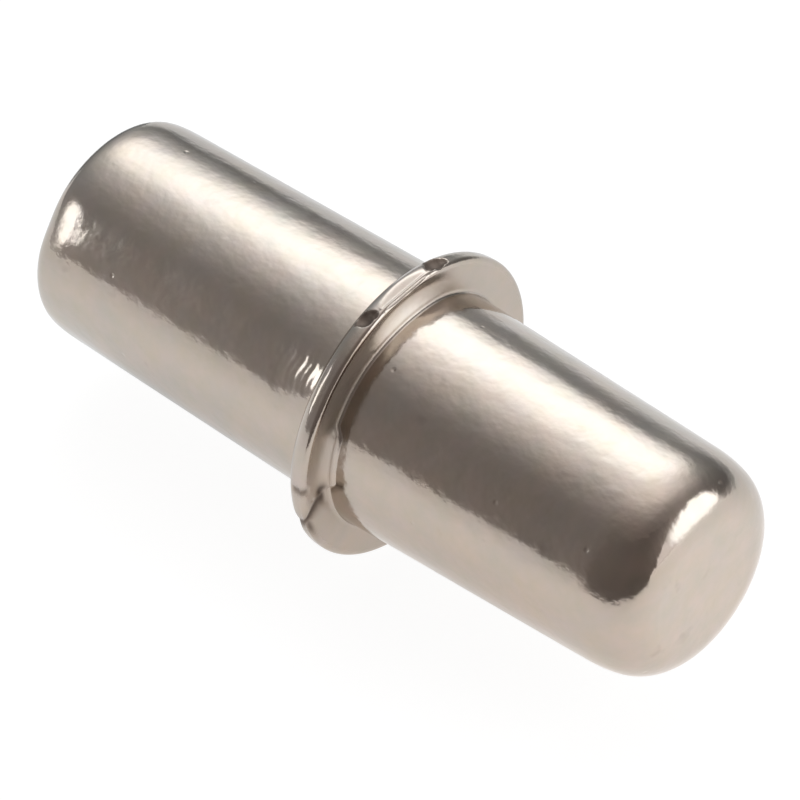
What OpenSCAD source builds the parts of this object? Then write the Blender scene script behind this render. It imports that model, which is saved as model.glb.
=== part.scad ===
// Shelf support pin: a thin collar between two round stubs, cast in one piece.
// One stub is pushed into a hole in a cabinet's side until the collar seats on the board,
// and the shelf lies on the other stub. The mould parts at the collar, so each stub's wall
// has draft and the stub is widest there.
// The axis runs along X. The origin is on the axis of the hole stub, at the collar's seat
// on the board. The hole stub points to -X and the shelf stub to +X.

/* [Hole stub] */
// Diameter of the hole stub at the collar
hole_stub_d = 5; // [3:0.05:5.3]
// Length of the hole stub, from the collar's seat to the middle of its tip
hole_stub_l = 7.75; // [3:0.05:20]
// Radius round the edge of the hole stub's tip
hole_tip_r = 0.65; // [0.2:0.05:1]
// Radius of the low crown across the hole stub's tip
hole_crown_r = 25; // [8:1:400]

/* [Shelf stub] */
// Diameter of the shelf stub at the collar
shelf_stub_d = 5.05; // [3.5:0.05:5.7]
// Length of the shelf stub, from the collar's front face to the middle of its tip
shelf_stub_l = 7.5; // [3:0.05:20]
// Radius round the edge of the shelf stub's tip
shelf_tip_r = 1.15; // [0.2:0.05:1.25]
// Radius of the crown across the shelf stub's tip, which is all but flat
shelf_crown_r = 150; // [8:1:400]

/* [Collar] */
// Diameter of the collar
collar_d = 6.5; // [6.4:0.05:12]
// Thickness of the collar
collar_t = 0.5; // [0.45:0.05:3]
// Radius along the rim's edge on the side of the hole stub
rim_rear_r = 0.3; // [0.05:0.01:0.32]
// Radius along the rim's edge on the side of the shelf stub, where the mould parts
rim_front_r = 0.1; // [0.05:0.01:0.12]
// Radius of the fillet where each stub meets the collar
root_r = 0.12; // [0.05:0.01:0.15]

/* [Mould] */
// Draft of each stub's wall, in degrees
draft = 1.35; // [0.25:0.05:2.5]
// Sideways step between the two stubs, where the mould's halves met a little out of line
mould_step = 0.07; // [0:0.01:0.12]
// Direction of that step round the axis, in degrees from +Y towards +Z
mould_step_turn = 218; // [0:1:359]

/* [Gate mark] */
// Direction of the gate mark on the rim, in degrees from +Y towards +Z
gate_turn = 94; // [0:1:359]
// Width of the flat that is left where the gate was cut off, measured on the collar's front face
gate_flat_w = 0.8; // [0.4:0.05:1.2]
// Lean of the flat towards the shelf stub, in degrees, because the cutter came in askew
gate_tilt = 17; // [0:0.5:20]
// Turn from the middle of the flat to the bite that the cutter left beyond each end of it
bite_turn = 17.5; // [16:0.5:24]
// Width of each bite
bite_w = 0.45; // [0.3:0.05:0.5]
// Depth of each bite below the rim
bite_depth = 0.13; // [0.06:0.01:0.15]

/* [Fold] */
// Direction in which the fold leaves the shelf stub, in degrees from +Y towards +Z
fold_turn = 185; // [0:1:359]
// Lean of the fold from straight outwards, in degrees
fold_lean = 46; // [0:1:50]
// Width of the fold's notch, which is half as deep
fold_w = 0.12; // [0.06:0.01:0.16]

/* [Hidden] */
$fn = 96;
nickel = "#b7afa6";

collar_r = collar_d / 2;
// How far each stub's section carries on inside the collar, so that the two join as solids
stub_bury = 0.4 * collar_t;
// How far each blending arc crosses the surfaces that it runs into, so that they meet in a clean edge
blend_cross = 0.0005;
// The gate flat is a chord of the front face's outline
gate_flat_y = sqrt(pow(collar_r - rim_front_r, 2) - pow(gate_flat_w / 2, 2));
// Each bite is the cap of a ball with the bite's width and depth
bite_ball_r = (pow(bite_w / 2, 2) + pow(bite_depth, 2)) / (2 * bite_depth);
// Length of the fold over the front face, along its lean, and where it comes to the rim
fold_from = shelf_stub_d / 2;
fold_reach = sqrt(pow(collar_r, 2) - pow(fold_from * sin(fold_lean), 2)) - fold_from * cos(fold_lean);
fold_rim_turn = asin(fold_reach * sin(fold_lean) / collar_r);

// Point at a radius and an angle from a centre
function polar(centre, radius, angle) = centre + radius * [cos(angle), sin(angle)];

// Radius of a stub's wall at height z above the collar
function wall_r(root, z) = root - z * tan(draft);

// Height of the centre of the arc round a tip's edge.
// The arc touches the wall, and touches the crown from inside.
function tip_arc_z(root, length, tip_r, crown_r) =
    let (
        crown_z = length - crown_r,
        inset = root - tip_r / cos(draft),
        a = 1 + pow(tan(draft), 2),
        b = -2 * (crown_z + inset * tan(draft)),
        c = pow(crown_z, 2) + pow(inset, 2) - pow(crown_r - tip_r, 2)
    )
    (-b + sqrt(pow(b, 2) - 4 * a * c)) / (2 * a);

// Half of a stub's section, standing on the collar at height 0
module stub_section(root, length, tip_r, crown_r) {
    arc_z = tip_arc_z(root, length, tip_r, crown_r);
    arc_centre = [wall_r(root, arc_z) - tip_r / cos(draft), arc_z];
    crown_centre = [0, length - crown_r];
    crown_turn = atan2(arc_centre.y - crown_centre.y, arc_centre.x);
    wall_end = polar(arc_centre, tip_r, draft);
    crown_end = polar(arc_centre, tip_r, crown_turn);
    intersection() {
        translate([0, -stub_bury]) square([root, stub_bury + length]);
        translate(crown_centre) circle(crown_r);
        union() {
            polygon([
                [0, -stub_bury],
                [root, -stub_bury],
                [root, 0],
                wall_end,
                crown_end,
                [crown_end.x, length],
                [0, length]
            ]);
            translate(arc_centre + [blend_cross, 0]) circle(tip_r);
        }
    }
    root_fillet_section(root);
}

// The fillet between a stub's wall and the collar's face
module root_fillet_section(root) {
    centre = [wall_r(root, root_r) + root_r / cos(draft), root_r];
    difference() {
        translate([root - root_r, -stub_bury])
            square([centre.x - root + root_r, stub_bury + root_r * (1 - sin(draft))]);
        translate(centre - [blend_cross, blend_cross]) circle(root_r);
    }
}

// Half of the collar's section, with both edges of its rim rounded
module collar_section() {
    square([collar_r - rim_rear_r, collar_t]);
    translate([0, rim_rear_r]) square([collar_r, collar_t - rim_rear_r - rim_front_r]);
    translate([0, rim_rear_r]) square([collar_r - rim_front_r, collar_t - rim_rear_r]);
    translate([collar_r - rim_rear_r, rim_rear_r]) circle(rim_rear_r);
    translate([collar_r - rim_front_r, collar_t - rim_front_r]) circle(rim_front_r);
}

// Turns a section about Z into a solid about X, with its height along +X
module along_x() {
    rotate([0, 90, 0]) rotate_extrude() children();
}

// Moves what one mould half formed sideways, by a share of the step between the halves
module mould_offset(share) {
    rotate([mould_step_turn, 0, 0]) translate([0, share * mould_step, 0])
        rotate([-mould_step_turn, 0, 0]) children();
}

module hole_stub() {
    mirror([1, 0, 0]) along_x()
        stub_section(hole_stub_d / 2, hole_stub_l, hole_tip_r, hole_crown_r);
}

module shelf_stub() {
    translate([collar_t, 0, 0]) along_x()
        stub_section(shelf_stub_d / 2, shelf_stub_l, shelf_tip_r, shelf_crown_r);
}

// What the cutter took from the rim: a flat, and a bite beyond each end of it
module gate_mark() {
    rotate([gate_turn, 0, 0]) {
        translate([collar_t, gate_flat_y, 0]) rotate([0, 0, -gate_tilt])
            translate([-2 * collar_t, 0, -collar_r]) cube([4 * collar_t, collar_r, collar_d]);
        for (turn = [-bite_turn, bite_turn]) {
            rotate([turn, 0, 0]) translate([collar_t / 2, collar_r - bite_depth + bite_ball_r, 0])
                sphere(bite_ball_r);
        }
    }
}

// A bar along +Y with a square section that stands on its edge
module notch(length) {
    side = fold_w / sqrt(2);
    rotate([0, 45, 0]) translate([-side / 2, 0, -side / 2]) cube([side, length, side]);
}

// The fold where two flows of cooling metal met: a notch over the front face, then over the rim
module fold_mark() {
    rotate([fold_turn, 0, 0]) {
        translate([collar_t, fold_from, 0]) rotate([fold_lean, 0, 0])
            notch(fold_reach + fold_w);
        rotate([fold_rim_turn, 0, 0]) translate([collar_t + fold_w, collar_r, 0])
            rotate([0, fold_lean / 2, 0]) rotate([0, 0, 90]) notch(collar_t + 2 * fold_w);
    }
}

module collar() {
    difference() {
        along_x() collar_section();
        gate_mark();
        fold_mark();
    }
}

module shelf_pin() {
    color(nickel) union() {
        hole_stub();
        mould_offset(0.5) collar();
        mould_offset(1) shelf_stub();
    }
}

shelf_pin();
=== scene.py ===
"""Looks of a shelf support pin: a thin collar between two round stubs, die cast in zinc and nickel plated.

One surface carries the whole casting. It is an outline turned about the X axis, shifted a little where
the two mould halves met out of line, cut flat where the gate was nipped off the rim, and roughened
by the ripples, pits and dents of a tumbled casting. Lengths are in metres.
"""
import math

import bpy
import numpy as np
from mathutils import Matrix, Vector

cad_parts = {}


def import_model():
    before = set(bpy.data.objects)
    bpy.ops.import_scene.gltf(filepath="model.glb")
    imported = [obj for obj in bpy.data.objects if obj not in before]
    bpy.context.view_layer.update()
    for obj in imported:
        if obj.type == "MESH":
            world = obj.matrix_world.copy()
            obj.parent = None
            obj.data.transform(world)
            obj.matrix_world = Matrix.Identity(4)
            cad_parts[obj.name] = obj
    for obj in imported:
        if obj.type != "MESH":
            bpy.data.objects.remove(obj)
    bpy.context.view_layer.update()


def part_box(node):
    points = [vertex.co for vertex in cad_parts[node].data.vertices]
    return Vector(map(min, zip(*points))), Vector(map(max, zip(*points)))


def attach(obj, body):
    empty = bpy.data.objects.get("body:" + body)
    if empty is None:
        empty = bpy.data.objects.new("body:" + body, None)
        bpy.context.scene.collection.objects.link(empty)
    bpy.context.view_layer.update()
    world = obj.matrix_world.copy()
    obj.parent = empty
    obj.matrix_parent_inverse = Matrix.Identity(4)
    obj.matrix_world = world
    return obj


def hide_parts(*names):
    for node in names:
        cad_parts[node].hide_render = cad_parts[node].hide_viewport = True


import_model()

low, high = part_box("shelf_pin")
MM = 0.001

# Driving sizes of the collar
COLLAR_T = 0.5 * MM
COLLAR_R = 3.25 * MM
RIM_REAR_R = 0.31 * MM
RIM_FRONT_R = 0.1 * MM
# Driving sizes of the stubs. Each tip's edge leaves the wall with the shoulder radius, and tightens
# to the tip radius while it turns through the easing angle.
DRAFT = math.radians(1.35)
SHOULDER_R = 3.2 * MM
HOLE_L = -low.x
HOLE_ROOT_R = 2.5 * MM
HOLE_FILLET_R = 0.12 * MM
HOLE_TIP_R = 0.505 * MM
HOLE_CROWN_R = 17 * MM
HOLE_EASING = math.radians(15)
# The eased tip of the shelf stub ends a little inside the plain one
SHELF_TIP_BACK = 0.06 * MM
SHELF_L = high.x - COLLAR_T - SHELF_TIP_BACK
SHELF_ROOT_R = 2.525 * MM
SHELF_TIP_R = 0.96 * MM
SHELF_CROWN_R = 97 * MM
SHELF_EASING = math.radians(22)
# How the collar's front face is shaped in each sector: drop, share of the face that drops, rise,
# power of the rise, and the radius of the fillet by the stub
PLAIN_FACE = (0.0, 0.5, 0.0, 1.0, 0.09 * MM)
GATE_FACE = (0.14 * MM, 0.5, 0.03 * MM, 2.2, 0.09 * MM)
FOLD_FACE = (0.0, 0.5, 0.12 * MM, 3.5, 0.11 * MM)
# Sideways step between the mould's halves, along Y and Z
MOULD_STEP = 0.07 * MM
MOULD_STEP_TURN = math.radians(218)
STEP_Y = MOULD_STEP * math.cos(MOULD_STEP_TURN)
STEP_Z = MOULD_STEP * math.sin(MOULD_STEP_TURN)
# The flat where the gate was cut off: its turn in degrees, its width at the rim's widest, its tilt,
# the burr that stands along its front edge, and how far its ground skin reaches either way in degrees
GATE_TURN = 94
GATE_FLAT_W = 1.6 * MM
GATE_TILT = math.radians(17)
BURR = 0.035 * MM
BURR_X = 0.43 * MM
GROUND_TURN = 11.5
# Each bite that the cutter's corners left beyond the flat, and the smaller ones at its edges: its
# turn in degrees, how far along the rim its middle is, its width and depth
BITES = (
    (76.2, 0.27 * MM, 0.46 * MM, 0.13 * MM),
    (73.0, 0.34 * MM, 0.22 * MM, 0.06 * MM),
    (79.6, 0.34 * MM, 0.22 * MM, 0.07 * MM),
    (111.4, 0.22 * MM, 0.42 * MM, 0.13 * MM),
    (108.9, 0.34 * MM, 0.22 * MM, 0.06 * MM),
    (114.2, 0.12 * MM, 0.22 * MM, 0.07 * MM),
)
# The fold: its turn where it leaves the stub, how far it leans over the face and again over the rim,
# in degrees, the radius it starts from, its depth, and how far forward it reaches
FOLD_TURN = 189.7
FOLD_LEAN = 5.4
FOLD_RIM_LEAN = 8.0
FOLD_FROM_R = 2.8 * MM
FOLD_DEPTH = 0.05 * MM
FOLD_FRONT_X = 0.62 * MM
# Marks beside the fold: depth as a share of the fold's, turn and half width in degrees, radius and
# half width there. The nick crosses the rim at its own turn.
WEDGE = (1.15, 185.0, 4.2, 2.73 * MM, 0.12 * MM)
RUN_OUT_DENT = (0.9, 199.0, 6.0, 3.19 * MM, 0.065 * MM)
NICK_TURN = 180.4
# The hole stub's wall beside the collar flares out, and carries waves of these heights and lengths.
# By the tip it droops. Each lies round a turn, with a half width in degrees.
FLARE = 0.1 * MM
FLARE_L = 1.3 * MM
FLARE_TURN = 142.0
FLARE_HALF_TURN = 14.0
WAVES = ((0.0014 * MM, 0.15 * MM), (0.0018 * MM, 0.37 * MM))
DROOP = 0.058 * MM
DROOP_FROM_X = -6.2 * MM
DROOP_L = 1.25 * MM
DROOP_TURN = 147.0
DROOP_HALF_TURN = 15.0
# Sectors in degrees, from +Y towards +Z: start, end, and how far each of the two eases
SWEPT_BY_GATE = (64, 132, 30, 32)
SWEPT_BY_FOLD = (151.5, 187.5, 6, 6)
DULL_FACE = (112, 164, 14, 14)
FINE_BY_GATE = (50, 134, 12, 12)
FINE_BY_FOLD = (160, 204, 10, 10)
# Points round the axis, and how much closer together they come in the fine sectors
RING_COUNT = 420
FINER_BY = 2.2


# ---------------------------------------------------------------- shapes

def smooth(t):
    """Eases from 0 to 1: t squared times (3 - 2t), with t kept between 0 and 1."""
    t = np.clip(t, 0.0, 1.0)
    return t * t * (3.0 - 2.0 * t)


def hill(offset, half_width):
    """A smooth hill: exp of minus the offset over the half width, squared."""
    return np.exp(-(offset / half_width) ** 2)


def soft_min(a, b, blend):
    """The smaller of a and b, rounded where they cross: half their sum less half the root of
    their difference squared plus blend squared."""
    return 0.5 * (a + b - np.sqrt((a - b) ** 2 + blend * blend))


def from_turn(turn, degrees):
    """How far each turn lies from an angle in degrees, the short way round, in degrees."""
    return (np.degrees(turn) - degrees + 180.0) % 360.0 - 180.0


def sector(turn, start, end, ease_in, ease_out):
    """1 inside a sector and 0 outside it, eased after its start and before its end, in degrees."""
    return smooth(from_turn(turn, start) / ease_in) * smooth(-from_turn(turn, end) / ease_out)


def arc(centre_x, centre_r, radius, start, end, count):
    """Points of a circle's arc in the (along, out) plane, its angle measured from along."""
    t = np.linspace(start, end, count)
    return np.stack([centre_x + radius * np.cos(t), centre_r + radius * np.sin(t)], 1)


def line(start, end, count):
    """Points evenly spaced on a straight line, ends included."""
    t = np.linspace(0.0, 1.0, count)[:, None]
    return np.asarray(start) * (1 - t) + np.asarray(end) * t


def stub_profile(root, length, tip_r, crown_r, root_r, rise, heights, easing):
    """Half a stub's outline from the middle of its tip to the collar's face, as (height above the
    face, radius).

    A crown arc, a rounded edge, a straight wall that widens by the draft towards the collar, and
    the root's fillet arc, which ends at the rise above the face. The edge bends ever tighter as
    it leaves the wall: its radius of curvature falls smoothly from the shoulder radius to the
    tip's over the easing angle, and its points are the running sums of that radius times the
    cosine and sine of the way it faces. The wall's points lie at the given shares of its length.
    """
    slope = math.tan(DRAFT)
    facing = np.linspace(DRAFT, math.radians(89.8), 900)
    bend = tip_r + (SHOULDER_R - tip_r) * (1 - smooth((facing - DRAFT) / easing))
    step = facing[1] - facing[0]
    run = np.cumsum(bend * np.cos(facing)) * step
    fall = np.cumsum(bend * np.sin(facing)) * step
    start = length - crown_r * (1 - np.sin(facing)) - run
    miss = root - slope * start - fall - crown_r * np.cos(facing)
    turn = float(np.interp(0.0, miss, facing))
    wall_top = float(np.interp(turn, facing, start))
    shown = np.concatenate([
        np.linspace(turn, DRAFT + easing, 20)[:-1],
        np.linspace(DRAFT + easing, DRAFT, 15),
    ])
    edge = np.stack([
        wall_top + np.interp(shown, facing, run),
        root - slope * wall_top - np.interp(shown, facing, fall),
    ], 1)
    crown = arc(length - crown_r, 0.0, crown_r, 0.0, math.pi / 2 - turn, 12)[:-1]
    fillet_z = rise + root_r
    fillet_r = root - fillet_z * slope + root_r / math.cos(DRAFT)
    fillet = arc(fillet_z, fillet_r, root_r, -math.pi / 2 - DRAFT, -math.pi, 8)
    wall = edge[-1] + (fillet[0] - edge[-1]) * heights[1:, None]
    return np.concatenate([crown, edge, wall, fillet[1:]])


def pin_profile(drop, dropping, rise, power, root_r):
    """The whole pin's outline from the hole stub's tip to the shelf stub's, as (x, radius,
    share of the mould step).

    The collar's front face starts at its true place at the rim. It drops over a share of the way
    to the stub, and rises as the whole way to a power, to stand forward by the rise there. So a
    drop leaves a dish, and a high power alone a flat face with a shoulder by the stub.
    """
    rippled = np.concatenate([
        np.linspace(0.0, 0.18, 9)[:-1], np.linspace(0.18, 0.8, 9)[:-1], np.linspace(0.8, 1.0, 43),
    ])
    hole = stub_profile(
        HOLE_ROOT_R, HOLE_L, HOLE_TIP_R, HOLE_CROWN_R, HOLE_FILLET_R, 0.0, rippled, HOLE_EASING,
    )
    even = np.concatenate([np.linspace(0.0, 0.85, 22)[:-1], np.linspace(0.85, 1.0, 9)])
    shelf = stub_profile(
        SHELF_ROOT_R, SHELF_L, SHELF_TIP_R, SHELF_CROWN_R, root_r, rise, even, SHELF_EASING,
    )
    hole[:, 0] *= -1.0
    shelf[:, 0] += COLLAR_T
    rear = line((0.0, hole[-1, 1]), (0.0, COLLAR_R - RIM_REAR_R), 6)[1:]
    back_edge = arc(RIM_REAR_R, COLLAR_R - RIM_REAR_R, RIM_REAR_R, math.pi, math.pi / 2, 13)[1:]
    front_x = COLLAR_T - RIM_FRONT_R
    front_edge = arc(front_x, COLLAR_R - RIM_FRONT_R, RIM_FRONT_R, math.pi / 2, 0.0, 9)
    front = line(front_edge[-1], (COLLAR_T, shelf[-1, 1]), 18)[1:-1]
    far = (front_edge[-1, 1] - front[:, 1]) / (front_edge[-1, 1] - shelf[-1, 1])
    front[:, 0] = COLLAR_T - drop * smooth(far / dropping) + (drop + rise) * far ** power
    band = line(back_edge[-1], front_edge[0], 7)[1:-1]
    parts = [hole, rear, back_edge, band, front_edge, front, shelf[::-1]]
    share = [
        np.zeros(len(hole)),
        np.linspace(0.0, 0.5, 6)[1:],
        np.full(len(back_edge) + len(band) + len(front_edge), 0.5),
        np.linspace(0.5, 1.0, 18)[1:-1],
        np.ones(len(shelf)),
    ]
    return np.column_stack([np.concatenate(parts), np.concatenate(share)])


def ring_angles():
    """Angles round the axis, from +Y towards +Z, closer together where the rim is cut and folded.

    Equal shares of the running sum of the density are turned back into angles.
    """
    dial = np.linspace(0.0, 2 * math.pi, 4001)
    near_cuts = np.maximum(sector(dial[:-1], *FINE_BY_GATE), sector(dial[:-1], *FINE_BY_FOLD))
    total = np.concatenate([[0.0], np.cumsum(1.0 + FINER_BY * near_cuts)])
    shares = np.linspace(0.0, total[-1], RING_COUNT + 1)[:-1]
    return np.interp(shares, total, dial)


def rim_limit(turn, x):
    """How far out the cutter left the rim, from the collar's axis, in each direction.

    The flat is a tilted chord, so its distance falls along the rim and grows as one over the
    cosine, and a burr stands along its front edge. Each bite is the near side of a ball: the
    smaller root of the ray's quadratic, where the ray meets the ball at all.
    """
    chord = math.sqrt(COLLAR_R ** 2 - (GATE_FLAT_W / 2) ** 2) + (COLLAR_T - x) * math.tan(GATE_TILT)
    chord = chord + BURR * hill(x - BURR_X, 0.03 * MM)
    away = np.cos(turn - math.radians(GATE_TURN))
    limit = np.where((away > 0.5) & (x < COLLAR_T), chord / np.maximum(away, 0.5), 1.0)
    for degrees, middle, width, depth in BITES:
        ball_r = ((width / 2) ** 2 + depth ** 2) / (2 * depth)
        ball_d = COLLAR_R - depth + ball_r
        delta = np.cos(turn - math.radians(degrees))
        under = (ball_d * delta) ** 2 - ball_d ** 2 - (x - middle) ** 2 + ball_r ** 2
        hit = (under > 0) & (delta > 0.9)
        near = ball_d * delta - np.sqrt(np.maximum(under, 0.0))
        limit = np.where(hit, np.minimum(limit, near), limit)
    return limit


def mark(turn, radius, depth, middle, turn_width, middle_r, width):
    """A dent of a given depth: a hill in the turn times a hill in the radius."""
    return depth * hill(from_turn(turn, middle), turn_width) * hill(radius - middle_r, width)


def crease(turn, x, radius):
    """How deep the fold at the collar's lower edge is at each point, as a share of its depth.

    Its line is a hill across a middle that leans with the radius, from beside the stub out to the
    rim, and leans on as it goes back over the rim. The wedge is where the metal folded over by the
    stub, and the dent where it ran out. The nick beside them is a hill in the turn alone, which
    fades before the rim's back edge. The same share marks where the colour is painted darker, as shade in
    the fold.
    """
    out = np.clip((radius - FOLD_FROM_R) / (COLLAR_R - FOLD_FROM_R), 0.0, 1.0)
    back = np.clip((COLLAR_T - x) / COLLAR_T, 0.0, 1.0)
    middle = FOLD_TURN + FOLD_LEAN * out + FOLD_RIM_LEAN * back * out
    across = from_turn(turn, 0.0) % 360.0 - middle
    fold_line = hill(across, 1.8 + 2.0 * smooth(back * 1.5) * out + 1.6 * (1 - out))
    nick = 0.75 * hill(from_turn(turn, NICK_TURN), 1.7) * smooth((radius - 3.05 * MM) / (0.12 * MM))
    nick = nick * smooth((0.7 - back) / 0.2)
    run_out_dent = mark(turn, radius, *RUN_OUT_DENT) * (back < 0.6)
    deepest = np.maximum(np.maximum(fold_line, mark(turn, radius, *WEDGE)), np.maximum(run_out_dent, nick))
    on_collar = (x < FOLD_FRONT_X) & (x > 0.02 * MM)
    return deepest * smooth((radius - 2.6 * MM) / (0.08 * MM)) * on_collar


def ripples(turn, x):
    """How far the hole stub's wall stands out beside the collar at one side, and droops by the tip.

    The flare beside the collar grows as the square of the way along. The waves on it are sines
    along the wall, whose crests wander by a sine in the turn, and they fade away from the collar.
    The droop eases in along the wall. Flare, waves and droop are hills in the turn.
    """
    beside = hill(from_turn(turn, FLARE_TURN), FLARE_HALF_TURN) * (x < 0.0)
    stand = FLARE * np.clip((x + FLARE_L) / FLARE_L, 0.0, 1.0) ** 2
    along = x + 0.03 * MM * np.sin(np.radians(from_turn(turn, 0.0)) * 23)
    fade = smooth((x + 1.7 * MM) / (1.2 * MM))
    for height, length in WAVES:
        stand = stand + height * np.sin(2 * math.pi * along / length) * fade
    droop = DROOP * hill(from_turn(turn, DROOP_TURN), DROOP_HALF_TURN)
    droop = droop * smooth((DROOP_FROM_X - x) / DROOP_L)
    return beside * stand - droop * (x < 0.0)


def turned_surface(name, turns):
    """A mesh of an outline carried round the X axis, with both tips closed by fans.

    The outline is a mix, by turn, of the one with a flat face and those with a swept face. A
    point lies at the outline's radius from a centre that moves by its share of the mould step.
    The fold sinks the face along the axis, and the rim towards it. In the bites and the fold a value of 1
    marks painted shade: their colour is made darker for the shade in these hollows, and rougher.
    The value matt says how dull the plating is elsewhere.
    """
    flat = pin_profile(*PLAIN_FACE)
    by_gate = pin_profile(*GATE_FACE)
    by_fold = pin_profile(*FOLD_FACE)
    turn = turns[None, :]
    at_gate = sector(turn, *SWEPT_BY_GATE)[..., None]
    at_fold = sector(turn, *SWEPT_BY_FOLD)[..., None]
    outline = flat[1:-1, None, :] * (1 - at_gate - at_fold)
    outline = outline + by_gate[1:-1, None, :] * at_gate + by_fold[1:-1, None, :] * at_fold
    x, radius, share = outline[..., 0], outline[..., 1], outline[..., 2]
    limit = rim_limit(turn, x)
    beside_flat = np.abs(from_turn(turn, GATE_TURN)) > GROUND_TURN
    bite = smooth((radius - limit + 0.03 * MM) / (0.03 * MM)) * beside_flat * (x > -0.02 * MM)
    ground = smooth((radius - limit + 0.02 * MM) / (0.03 * MM)) * (1 - beside_flat)
    radius = soft_min(radius, limit, 0.01 * MM) + ripples(turn, x) * smooth(radius / (2 * MM))
    fold = crease(turn, x, radius)
    on_face = smooth((x - 0.36 * MM) / (0.08 * MM))
    x = x - FOLD_DEPTH * fold * on_face
    radius = radius - FOLD_DEPTH * fold * (1 - on_face)
    # painted shade: the bites and the fold are marked here so that their colour is painted darker, for the
    # shade in these hollows
    shaded_recess = np.maximum(bite, fold)
    face = (np.abs(outline[..., 0] - COLLAR_T) < 0.2 * MM) & (share > 0.51)
    dull = 0.55 + 0.27 * sector(turn, *DULL_FACE)
    matt = np.maximum(0.35 * ground, dull * face * (radius > SHELF_ROOT_R + 0.02 * MM))
    y = radius * np.cos(turn) + share * STEP_Y
    z = radius * np.sin(turn) + share * STEP_Z
    rings, sides = y.shape
    grid = np.stack([x, y, z], 2).reshape(-1, 3)
    tips = np.array([[flat[0, 0], 0.0, 0.0], [flat[-1, 0], STEP_Y, STEP_Z]])
    points = np.concatenate([grid, tips])
    ring = np.arange(sides)
    following = (ring + 1) % sides
    base = np.arange(rings - 1)[:, None] * sides
    quads = np.stack([base + ring, base + sides + ring, base + sides + following, base + following], 2)
    hole_tip = np.full(sides, rings * sides)
    last = (rings - 1) * sides
    fans = np.concatenate([
        np.stack([hole_tip, ring, following], 1),
        np.stack([hole_tip + 1, last + following, last + ring], 1),
    ])
    piece = add_mesh(name, points, quads.reshape(-1, 4)[:, ::-1], fans[:, ::-1])
    add_values(piece, "shaded_recess", np.concatenate([shaded_recess.reshape(-1), [0.0, 0.0]]))
    add_values(piece, "matt", np.concatenate([matt.reshape(-1), [0.0, 0.0]]))
    return piece


def add_mesh(name, points, quads, triangles):
    """Puts arrays of points, quads and triangles into a smooth-shaded mesh object at the origin."""
    mesh = bpy.data.meshes.new(name)
    corners = np.concatenate([quads.reshape(-1), triangles.reshape(-1)]).astype(np.int32)
    sizes = np.concatenate([np.full(len(quads), 4), np.full(len(triangles), 3)])
    starts = np.concatenate([[0], np.cumsum(sizes)[:-1]]).astype(np.int32)
    mesh.vertices.add(len(points))
    mesh.vertices.foreach_set("co", points.astype(np.float32).reshape(-1))
    mesh.loops.add(len(corners))
    mesh.loops.foreach_set("vertex_index", corners)
    mesh.polygons.add(len(sizes))
    mesh.polygons.foreach_set("loop_start", starts)
    mesh.polygons.foreach_set("use_smooth", np.ones(len(sizes), bool))
    mesh.update(calc_edges=True)
    mesh.validate()
    piece = bpy.data.objects.new(name, mesh)
    bpy.context.scene.collection.objects.link(piece)
    return piece


def add_values(piece, name, values):
    """Stores one number, or one colour, for each point of a mesh, for its material to read."""
    if values.ndim == 1:
        layer = piece.data.attributes.new(name, "FLOAT", "POINT")
        layer.data.foreach_set("value", values.astype(np.float32))
    else:
        layer = piece.data.attributes.new(name, "FLOAT_COLOR", "POINT")
        opaque = np.concatenate([values, np.ones((len(values), 1))], 1)
        layer.data.foreach_set("color", opaque.astype(np.float32).reshape(-1))


def grid_mesh(name, points):
    """A smooth-shaded open sheet through a rows by columns by 3 array of points."""
    rows, columns = points.shape[:2]
    first = (np.arange(rows - 1)[:, None] * columns + np.arange(columns - 1)).reshape(-1)
    quads = np.stack([first, first + 1, first + columns + 1, first + columns], 1)
    return add_mesh(name, points.reshape(-1, 3), quads, np.zeros((0, 3), int))


# ---------------------------------------------------------------- materials

def linear(hex_colour):
    """An sRGB hex colour as linear red, green, blue and alpha."""
    values = [int(hex_colour[i:i + 2], 16) / 255 for i in (1, 3, 5)]
    return [v / 12.92 if v <= 0.04045 else ((v + 0.055) / 1.055) ** 2.4 for v in values] + [1.0]


def add_node(tree, kind, settings=None, **inputs):
    """Adds one node, sets its properties and sockets, and returns it.

    A socket is given by its name or as i0, i1 and so on. An input that is an output socket is linked.
    """
    made = tree.nodes.new(kind)
    for key, value in (settings or {}).items():
        setattr(made, key, value)
    for key, value in inputs.items():
        numbered = key[0] == "i" and key[1:].isdigit()
        socket = made.inputs[int(key[1:])] if numbered else made.inputs[key.replace("_", " ")]
        if isinstance(value, bpy.types.NodeSocket):
            tree.links.new(value, socket)
        else:
            socket.default_value = value
    return made


def new_material(name):
    """An empty node material and its tree."""
    material = bpy.data.materials.new(name)
    material.use_nodes = True
    material.node_tree.nodes.clear()
    return material, material.node_tree


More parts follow.
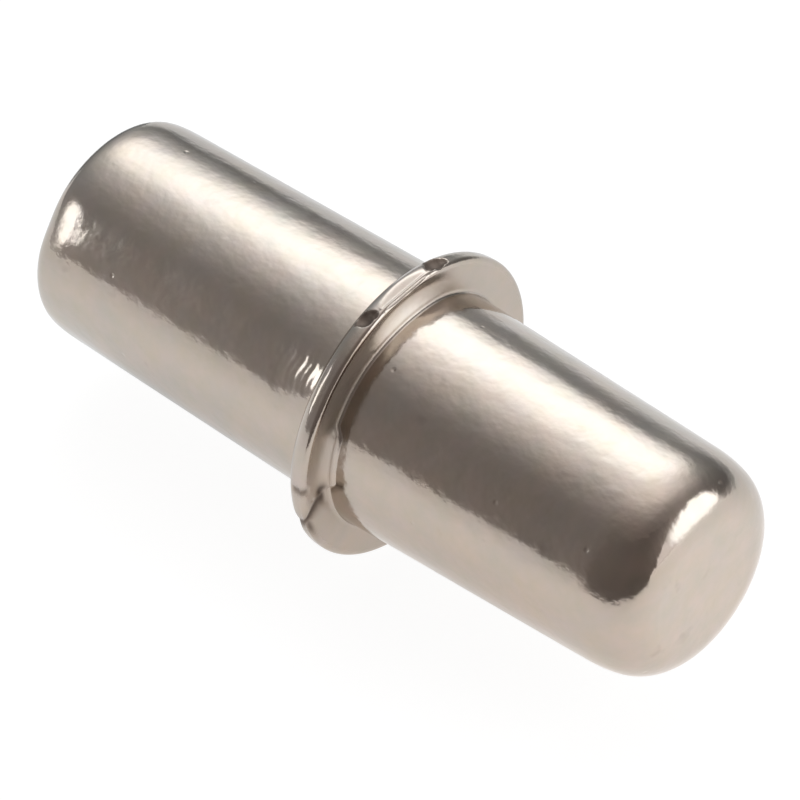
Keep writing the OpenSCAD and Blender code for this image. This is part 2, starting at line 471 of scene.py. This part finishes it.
def nickel_plate():
    """Nickel electroplated on a tumbled zinc casting: bright and slightly warm, with mirror-like
    reflections that ripple a little, because the plating follows the casting's skin."""
    material, tree = new_material("nickel_plate_on_die_cast_zinc")
    place = add_node(tree, "ShaderNodeTexCoord").outputs["Object"]
    along = add_node(tree, "ShaderNodeMapping", Vector=place, Scale=(0.85, 1.0, 1.0)).outputs["Vector"]
    shaded_recess = add_node(tree, "ShaderNodeAttribute", {"attribute_name": "shaded_recess"}).outputs["Fac"]
    matt = add_node(tree, "ShaderNodeAttribute", {"attribute_name": "matt"}).outputs["Fac"]
    # patches where the plating is a little warmer, pinker or greener
    warmth = add_node(
        tree, "ShaderNodeTexNoise",
        Vector=place, Scale=1 / (0.9 * MM), Detail=3.0, Roughness=0.65,
    )
    pinkness = add_node(
        tree, "ShaderNodeTexNoise", {"noise_dimensions": "4D"},
        Vector=place, W=7.3, Scale=1 / (0.5 * MM), Detail=2.0, Roughness=0.6,
    )
    tint = add_node(
        tree, "ShaderNodeMix", {"data_type": "RGBA"},
        i0=warmth.outputs["Fac"], i6=linear("#CABAA9"), i7=linear("#B9B5AE"),
    )
    blush = add_node(
        tree, "ShaderNodeMix", {"data_type": "RGBA"},
        i0=pinkness.outputs["Fac"], i6=linear("#FFF8FF"), i7=linear("#EEF1EA"),
    )
    plate = add_node(
        tree, "ShaderNodeMix", {"data_type": "RGBA", "blend_type": "MULTIPLY"},
        i0=1.0, i6=tint.outputs["Result"], i7=blush.outputs["Result"],
    )
    # darker bruises from the tumbling, and painted shade: the bites and the fold's crease coloured darker
    # for the shade in these hollows
    bruises = add_node(
        tree, "ShaderNodeTexNoise",
        Vector=place, Scale=1 / (0.6 * MM), Detail=2.0, Roughness=0.5,
    )
    bruise = add_node(
        tree, "ShaderNodeMapRange",
        Value=bruises.outputs["Fac"], From_Min=0.67, From_Max=0.78, To_Min=0.0, To_Max=0.2,
    )
    marked = add_node(
        tree, "ShaderNodeMix", {"data_type": "RGBA"},
        i0=bruise.outputs["Result"], i6=plate.outputs["Result"], i7=linear("#857A72"),
    )
    # painted shade: the bites and the fold's crease take a darker colour for the shade in these hollows
    colour = add_node(
        tree, "ShaderNodeMix", {"data_type": "RGBA"},
        i0=shaded_recess, i6=marked.outputs["Result"], i7=linear("#766A61"),
    )
    # polish that comes and goes in a haze, duller on the collar's face and dull in the bites and the fold
    haze = add_node(
        tree, "ShaderNodeTexNoise",
        Vector=along, Scale=1 / (0.8 * MM), Detail=3.0, Roughness=0.6,
    )
    polish = add_node(
        tree, "ShaderNodeMapRange",
        Value=haze.outputs["Fac"], From_Min=0.35, From_Max=0.7, To_Min=0.09, To_Max=0.19,
    )
    dulled = add_node(
        tree, "ShaderNodeMix", {"data_type": "FLOAT"},
        i0=matt, i2=polish.outputs["Result"], i3=0.56,
    )
    rough = add_node(
        tree, "ShaderNodeMix", {"data_type": "FLOAT"},
        i0=shaded_recess, i2=dulled.outputs["Result"], i3=0.6,
    )
    # the casting's skin under the plating: grain of 0.16 mm, waves, slow swells, and a few pits
    # about 0.15 mm across, in one cell out of four of a 0.55 mm pattern
    grain = add_node(
        tree, "ShaderNodeTexNoise",
        Vector=along, Scale=1 / (0.16 * MM), Detail=2.0, Roughness=0.45,
    )
    waves = add_node(
        tree, "ShaderNodeTexNoise",
        Vector=along, Scale=1 / (0.42 * MM), Detail=2.0, Roughness=0.45,
    )
    skin = add_node(
        tree, "ShaderNodeTexNoise",
        Vector=along, Scale=1 / (0.9 * MM), Detail=3.0, Roughness=0.5,
    )
    pits = add_node(tree, "ShaderNodeTexVoronoi", Vector=place, Scale=1 / (0.55 * MM), Randomness=1.0)
    chosen = add_node(tree, "ShaderNodeSeparateColor", Color=pits.outputs["Color"])
    spared = add_node(
        tree, "ShaderNodeMath", {"operation": "LESS_THAN"},
        i0=chosen.outputs["Red"], i1=0.74,
    )
    pit = add_node(
        tree, "ShaderNodeMapRange", {"interpolation_type": "SMOOTHSTEP"},
        Value=pits.outputs["Distance"], From_Min=0.0, From_Max=0.14, To_Min=0.0, To_Max=1.0,
    )
    level = add_node(
        tree, "ShaderNodeMath", {"operation": "MAXIMUM"},
        i0=pit.outputs["Result"], i1=spared.outputs[0],
    )
    fine = add_node(
        tree, "ShaderNodeBump",
        Strength=1.0, Distance=0.0035 * MM, Height=grain.outputs["Fac"],
    )
    wavy = add_node(
        tree, "ShaderNodeBump",
        Strength=1.0, Distance=0.008 * MM, Height=waves.outputs["Fac"], Normal=fine.outputs["Normal"],
    )
    relief = add_node(
        tree, "ShaderNodeBump",
        Strength=1.0, Distance=0.014 * MM, Height=skin.outputs["Fac"], Normal=wavy.outputs["Normal"],
    )
    pitted = add_node(
        tree, "ShaderNodeBump",
        Strength=1.0, Distance=0.009 * MM, Height=level.outputs[0], Normal=relief.outputs["Normal"],
    )
    surface = add_node(
        tree, "ShaderNodeBsdfPrincipled",
        Base_Color=colour.outputs["Result"], Metallic=1.0, Roughness=rough.outputs["Result"],
        Normal=pitted.outputs["Normal"],
    )
    add_node(tree, "ShaderNodeOutputMaterial", Surface=surface.outputs["BSDF"])
    return material


# ---------------------------------------------------------------- studio

# Tints of the light on the cloth and on the floor, from the room in front and from the window side
WARM = np.array([1.14, 1.0, 0.95])
FLOOR_WARM = np.array([1.03, 1.0, 0.985])
COOL = np.array([0.95, 1.0, 1.045])
# How bright the lamps, the panel and the cloth between them are, where 1 is white
LAMP_LIGHT = 2.5 * np.array([0.965, 1.005, 1.035])
PANEL_LEVEL = 1.13
CLOTH_LEVEL = 0.14
TENT_R = 75 * MM
# The floor's shares of its own shine to the camera and in the metal, its white, the level of the
# light that falls on it, and how bright it shows in the metal apart from its patches
FLOOR_SEEN = 0.8
FLOOR_MIRRORED = 0.5
FLOOR_WHITE = 1.15
FLOOR_LIT = 0.6
FLOOR_LEVEL = 1.04
# Lamps that show through the tent as ovals: azimuth, elevation, half width, half height and
# softness, and the roll of those that lean
TOP_LAMP = (127.6, 46.2, 19, 16, 0.8, 23)
SHELF_TIP_PANEL = (15.5, 0, 33.5, 32, 0.12)
SHELF_TIP_LAMP = (27, 17.3, 21.5, 20.5, 0.15)
HOLE_TIP_LAMP = (-140.8, 15.8, 6.2, 14, 0.15, 8)
# Round patches of light, and of shade where the strength is below 0, on the tent's cloth and on the
# floor: strength, azimuth, elevation and width
CLOTH_PATCHES = (
    (1.34, 121, 66.5, 32),
    (0.56, 143, 29, 26.5),
    (0.31, 212, -4, 37),
    (0.38, 16, 20, 25),
    (0.5, 99, -8, 13),
    (0.05, -55, 22, 28),
    (0.2, 112, 2, 8),
    (-0.18, 127, 2, 8),
    (0.035, -123, 40, 27),
    (0.1, 174, 60, 9),
    (0.09, 127.5, 26, 7),
    (-0.13, 116, 22, 7),
)
# the floor's patches are painted light and shade in its glow, as it shows in the pin
FLOOR_PATCHES = (
    (0.24, 18, 0, 39),
    (-0.16, 146, -56, 24),
    (0.05, 106, -8, 12),
    (-0.08, 130, -8, 13),
    (-0.19, 186, -44, 14),
    (-0.12, -15, -55, 12),
)
# The camera: its focal length, its place in millimetres, the azimuth that its right side points to,
# and how far it looks down, in degrees
FOCAL = 540
CAMERA_PLACE = (112.495, -126.797, 159.139)
CAMERA_RIGHT = 41.56
CAMERA_DOWN = 43.22


def direction(azimuth, elevation):
    """The unit vector at an azimuth from +X towards +Y and an elevation, in degrees."""
    a, e = math.radians(azimuth), math.radians(elevation)
    return np.array([math.cos(e) * math.cos(a), math.cos(e) * math.sin(a), math.sin(e)])


def oval(rays, azimuth, elevation, half_width, half_height, softness, roll=0.0):
    """Where a soft-edged oval lamp on the tent lies: 1 inside it and 0 outside.

    A ray's place on the lamp is its length across and up over its length along the middle, each
    over the half width or height. The edge is where the root of the sum of their squares is 1,
    and it fades over the softness to either side. Angles are in degrees.
    """
    middle = direction(azimuth, elevation)
    across = direction(azimuth + 90, 0)
    up = np.cross(middle, across)
    cosine, sine = math.cos(math.radians(roll)), math.sin(math.radians(roll))
    across, up = across * cosine + up * sine, up * cosine - across * sine
    along = np.maximum(rays @ middle, 0.05)
    wide = rays @ across / along / math.tan(math.radians(half_width))
    tall = rays @ up / along / math.tan(math.radians(half_height))
    edge = np.sqrt(wide ** 2 + tall ** 2)
    return smooth((1 + softness - edge) / (2 * softness)) * (rays @ middle > 0.06)


def glow(rays, azimuth, elevation, width):
    """A round patch of light: a hill over the angle from its middle, in degrees."""
    away = np.degrees(np.arccos(np.clip(rays @ direction(azimuth, elevation), -1.0, 1.0)))
    return hill(away, width)


def patched(rays, level, patches):
    """A level of light with round patches added to it."""
    light = np.full(rays.shape[:-1], level)
    for strength, azimuth, elevation, width in patches:
        light = light + strength * glow(rays, azimuth, elevation, width)
    return light


def towards(light, share, colour):
    """Light moved towards a colour by a share, point by point."""
    return light + (colour - light) * share[..., None]


def tinted(rays, light, warm):
    """A brightness made a colour: cool light from the window side behind the pin, warm from the
    room in front."""
    cool = smooth(0.5 + 0.5 * rays @ direction(140, 0))[..., None]
    return light[..., None] * (warm * (1 - cool) + COOL * cool)


def cloth_light(rays):
    """The tent's dim cloth, with the lamps' halos on it."""
    return tinted(rays, patched(rays, CLOTH_LEVEL, CLOTH_PATCHES), WARM)


def tent_light(rays):
    """The light that each direction of the tent sends in: the cloth, the lamps and the panel that
    show through it as bright ovals, and the hem.

    The hem picks up light from the floor: a soft band behind the pin and a sharper one in front.
    """
    light = towards(cloth_light(rays), oval(rays, *TOP_LAMP), LAMP_LIGHT)
    panel = oval(rays, *SHELF_TIP_PANEL)
    light = towards(light, panel, tinted(rays, np.full(panel.shape, PANEL_LEVEL), FLOOR_WARM))
    light = towards(light, oval(rays, *SHELF_TIP_LAMP), LAMP_LIGHT)
    light = towards(light, oval(rays, *HOLE_TIP_LAMP), LAMP_LIGHT)
    height = np.degrees(np.arcsin(rays[..., 2]))
    behind = smooth((rays @ direction(95, 0) + 0.087) / 0.65)
    sharp = smooth((0.5 - height) / 4.8)
    soft = smooth((8.6 - height) / 22.0)
    hem = tinted(rays, 0.8 + 0.3 * behind, FLOOR_WARM)
    return towards(light, sharp * (1 - behind) + soft * behind, hem)


def floor_light(rays):
    """Painted light and shade of the floor as it shows in the pin, by the direction it is seen in: dimmer
    far behind, along the horizon in front and in patches close by the pin, brighter at the foot of the
    lamp by the shelf stub's tip."""
    height = np.degrees(np.arcsin(rays[..., 2]))
    behind = smooth((rays @ direction(105, 0) + 0.1) / 0.8)
    light = patched(rays, FLOOR_LEVEL, FLOOR_PATCHES)
    light = light - 0.28 * behind * (1 + rays[..., 2]) - 0.15 * hill(height + 5, 11) * (1 - behind)
    shining = (light - (1 - FLOOR_MIRRORED) * FLOOR_LIT) / FLOOR_MIRRORED
    return tinted(rays, shining, FLOOR_WARM)


def glowing_cloth():
    """Tent cloth lit from outside: it shines as its points say."""
    material, tree = new_material("light_tent_cloth")
    light = add_node(tree, "ShaderNodeAttribute", {"attribute_name": "light"})
    cloth = add_node(tree, "ShaderNodeEmission", Color=light.outputs["Color"], Strength=1.0)
    add_node(tree, "ShaderNodeOutputMaterial", Surface=cloth.outputs["Emission"])
    return material


def floor_material():
    """White card. It is lit where the pin doesn't shade it, and glows white to the camera. In the pin it
    shows half lit and half glowing with painted light and shade, from its light values.
    """
    material, tree = new_material("white_card_floor")
    path = add_node(tree, "ShaderNodeLightPath")
    mirrored = add_node(
        tree, "ShaderNodeMath", {"operation": "ADD"},
        i0=path.outputs["Is Glossy Ray"], i1=path.outputs["Is Transmission Ray"],
    )
    seen = add_node(
        tree, "ShaderNodeMath", {"operation": "MULTIPLY"},
        i0=path.outputs["Is Camera Ray"], i1=FLOOR_SEEN,
    )
    share = add_node(
        tree, "ShaderNodeMath", {"operation": "MULTIPLY_ADD"},
        i0=mirrored.outputs[0], i1=FLOOR_MIRRORED, i2=seen.outputs[0],
    )
    lit = add_node(tree, "ShaderNodeBsdfDiffuse", Color=linear("#F4F4F2"))
    shown = add_node(tree, "ShaderNodeAttribute", {"attribute_name": "light"})
    white = add_node(
        tree, "ShaderNodeMix", {"data_type": "RGBA"},
        i0=path.outputs["Is Camera Ray"], i6=shown.outputs["Color"], i7=[FLOOR_WHITE] * 3 + [1.0],
    )
    shine = add_node(tree, "ShaderNodeEmission", Color=white.outputs["Result"], Strength=1.0)
    both = add_node(
        tree, "ShaderNodeMixShader",
        Fac=share.outputs[0], i1=lit.outputs["BSDF"], i2=shine.outputs["Emission"],
    )
    add_node(tree, "ShaderNodeOutputMaterial", Surface=both.outputs["Shader"])
    return material


def light_tent():
    """A dome round the pin: points at one radius, over azimuth and elevation."""
    azimuth = np.radians(np.linspace(0.0, 360.0, 721))
    steps = np.concatenate([np.linspace(-3.0, 12.0, 61)[:-1], np.linspace(12.0, 90.0, 157)])
    elevation = np.radians(steps)[:, None]
    rays = np.stack([
        np.cos(elevation) * np.cos(azimuth),
        np.cos(elevation) * np.sin(azimuth),
        np.sin(elevation) + 0.0 * azimuth,
    ], 2)
    tent = grid_mesh("light_tent", rays * TENT_R)
    add_values(tent, "light", tent_light(rays).reshape(-1, 3))
    tent.data.materials.append(glowing_cloth())
    tent.visible_camera = False


def dark_card(name, x, radius, from_azimuth, to_azimuth, lean, height, shade):
    """An upright curved card on the floor: an arc about a point on the pin's axis, straight up,
    whose end leans outwards as it rises. It is as dim as the cloth behind it, times the shade."""
    up = np.linspace(low.z, height, 33)[:, None]
    end = to_azimuth + lean * (up - low.z) / (height - low.z)
    azimuth = np.radians(from_azimuth + (end - from_azimuth) * np.linspace(0.0, 1.0, 97))
    points = np.stack([
        x + radius * np.cos(azimuth) + 0.0 * up,
        radius * np.sin(azimuth) + 0.0 * up,
        up + 0.0 * azimuth,
    ], 2)
    card = grid_mesh(name, points)
    rays = points / np.linalg.norm(points, axis=2)[..., None]
    dimming = 1 - (1 - shade) * smooth(np.linspace(0.0, 1.0, 97) / 0.35)
    add_values(card, "light", (dimming[:, None] * cloth_light(rays)).reshape(-1, 3))
    card.data.materials.append(glowing_cloth())
    card.visible_camera = False
    card.visible_diffuse = False
    card.visible_shadow = False


def floor():
    """A square card under the pin, its grid finer towards the middle: side lengths follow a
    hyperbolic sine."""
    side = np.sinh(np.linspace(-7.0, 7.0, 141)) / math.sinh(7.0)
    points = np.stack([
        side[None, :] + 0.0 * side[:, None],
        side[:, None] + 0.0 * side[None, :],
        np.full((141, 141), low.z),
    ], 2)
    card = grid_mesh("floor", points)
    rays = points - np.array([0.0, 0.0, 1.2 * MM])
    rays = rays / np.linalg.norm(rays, axis=2)[..., None]
    # painted light and shade: how bright the floor glows in the pin, by direction from the pin
    add_values(card, "light", floor_light(rays).reshape(-1, 3))
    card.data.materials.append(floor_material())


def world():
    """Plain white all round."""
    made = bpy.data.worlds.new("white_room")
    made.use_nodes = True
    made.node_tree.nodes.clear()
    back = add_node(made.node_tree, "ShaderNodeBackground", Color=linear("#FFFFFF"), Strength=1.0)
    add_node(made.node_tree, "ShaderNodeOutputWorld", Surface=back.outputs["Background"])
    bpy.context.scene.world = made


def camera():
    """A long lens above the shelf stub's end, level, looking down at the pin from its side."""
    azimuth, elevation = math.radians(CAMERA_RIGHT), math.radians(CAMERA_DOWN)
    right = Vector((math.cos(azimuth), math.sin(azimuth), 0.0))
    back = Vector((
        math.sin(azimuth) * math.cos(elevation),
        -math.cos(azimuth) * math.cos(elevation),
        math.sin(elevation),
    ))
    up = back.cross(right)
    place = Vector(CAMERA_PLACE) * MM
    lens = bpy.data.cameras.new("camera")
    lens.lens = FOCAL
    lens.sensor_width = 36
    lens.clip_start = 0.01
    lens.clip_end = 10
    seen = bpy.data.objects.new("camera", lens)
    turned = Matrix((right, up, back)).transposed().to_4x4()
    seen.matrix_world = Matrix.Translation(place) @ turned
    bpy.context.scene.collection.objects.link(seen)
    bpy.context.scene.camera = seen


# ---------------------------------------------------------------- scene

pin = turned_surface("shelf_pin_casting", ring_angles())
pin.data.materials.append(nickel_plate())
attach(pin, "root")
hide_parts("shelf_pin")

floor()
light_tent()
dark_card(
    "dark_card_by_shelf_tip", x=high.x, radius=27 * MM, from_azimuth=-112.0, to_azimuth=-15.0,
    lean=22.0, height=34 * MM, shade=0.8,
)
dark_card(
    "dark_card_by_hole_tip", x=low.x, radius=11.5 * MM, from_azimuth=128.0, to_azimuth=168.0,
    lean=0.0, height=2.2 * MM, shade=0.9,
)
world()
camera()
bpy.context.scene.view_settings.view_transform = "Standard"
